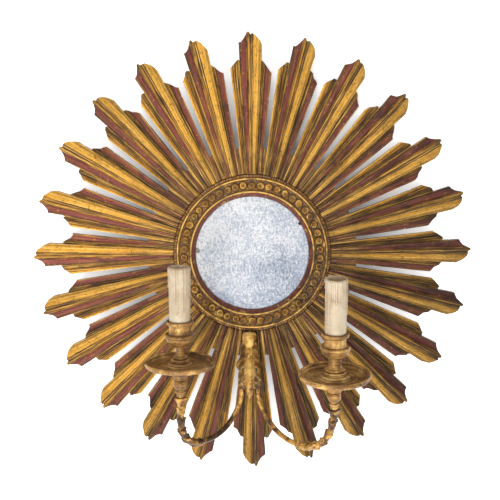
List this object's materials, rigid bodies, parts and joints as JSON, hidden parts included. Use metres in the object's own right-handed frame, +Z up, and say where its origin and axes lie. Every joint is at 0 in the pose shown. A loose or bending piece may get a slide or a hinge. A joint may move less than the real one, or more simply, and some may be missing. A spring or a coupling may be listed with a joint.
{
  "type": "girandole mirror",
  "caption": "Round sunburst wall mirror of carved gilt rays with a beaded ring and two electric candle arms springing from a leaf bracket below the glass.",
  "frame": {"origin": "on the wall plane at the centre of the burst, at the middle of the back cover's rear face", "axes": "+X to the viewer's right, +Y into the wall, +Z up"},
  "size_m": [0.5598, 0.2083, 0.5598],
  "materials": {
    "ray_gilt": "worn gilding and brown glaze over red ground on carved wood",
    "ring_gilt": "red ground with gilt beads and lines on turned wood",
    "board_wood": "plain planed board",
    "mirror_glass": "foxed silvered glass",
    "packing_card": "pressed card",
    "screw_steel": "dull steel",
    "bracket_iron": "dark painted casting",
    "leaf_gilt": "aged gilt casting",
    "arm_gilt": "aged gilt tube",
    "turned_gilt": "aged bronze gilding on turnings",
    "lamp_brass": "plain brass",
    "candle_cream": "waxy cream with drips",
    "holder_plastic": "dark moulded plastic",
    "lead_cable": "dark flex"
  },
  "bodies": {
    "mirror_frame": {"hub_board": "board_wood", "bead_ring": "ring_gilt", "mirror_glass": "mirror_glass", "mirror_packing": "packing_card", "back_cover": "board_wood", "long_screws": "screw_steel", "short_screws": "screw_steel", "terminal_block": "holder_plastic", "terminal_cover": "holder_plastic", "cord_inlet_bush": "holder_plastic", "hanger_plate": "screw_steel", "arm_bracket": "bracket_iron", "bracket_leaf": "leaf_gilt", "ray_01": "ray_gilt", "ray_02": "ray_gilt", "ray_03": "ray_gilt", "ray_04": "ray_gilt", "ray_05": "ray_gilt", "ray_06": "ray_gilt", "ray_07": "ray_gilt", "ray_08": "ray_gilt", "ray_09": "ray_gilt", "ray_10": "ray_gilt", "ray_11": "ray_gilt", "ray_12": "ray_gilt", "ray_13": "ray_gilt", "ray_14": "ray_gilt", "ray_15": "ray_gilt", "ray_16": "ray_gilt", "ray_17": "ray_gilt", "ray_18": "ray_gilt", "ray_19": "ray_gilt", "ray_20": "ray_gilt", "ray_21": "ray_gilt", "ray_22": "ray_gilt", "ray_23": "ray_gilt", "ray_24": "ray_gilt", "left_arm": "arm_gilt", "left_arm_husks": "arm_gilt", "left_spigot": "turned_gilt", "left_drip_pan": "turned_gilt", "left_candle_cup": "turned_gilt", "left_nipple": "lamp_brass", "left_lamp_holder": "holder_plastic", "left_socket_shell": "lamp_brass", "left_lamp_contact": "lamp_brass", "left_lead": "lead_cable", "right_arm": "arm_gilt", "right_arm_husks": "arm_gilt", "right_spigot": "turned_gilt", "right_drip_pan": "turned_gilt", "right_candle_cup": "turned_gilt", "right_nipple": "lamp_brass", "right_lamp_holder": "holder_plastic", "right_socket_shell": "lamp_brass", "right_lamp_contact": "lamp_brass", "right_lead": "lead_cable"},
    "left_sleeve": {"left_candle_sleeve": "candle_cream"},
    "right_sleeve": {"right_candle_sleeve": "candle_cream"},
    "hanging_ring": {"hanger_ring": "screw_steel"}
  },
  "joints": [
    {"name": "left_sleeve_lift", "type": "slide", "parent": "mirror_frame", "child": "left_sleeve", "axis": [0, -0.0872, 0.9962], "range_m": [0, 0.075]},
    {"name": "right_sleeve_lift", "type": "slide", "parent": "mirror_frame", "child": "right_sleeve", "axis": [0, -0.1444, 0.9895], "range_m": [0, 0.075]},
    {"name": "hanging_ring_swing", "type": "hinge", "parent": "mirror_frame", "child": "hanging_ring", "pos_m": [0, -0.00295, 0.112], "axis": [1, 0, 0], "range_deg": [0, 180]}
  ]
}
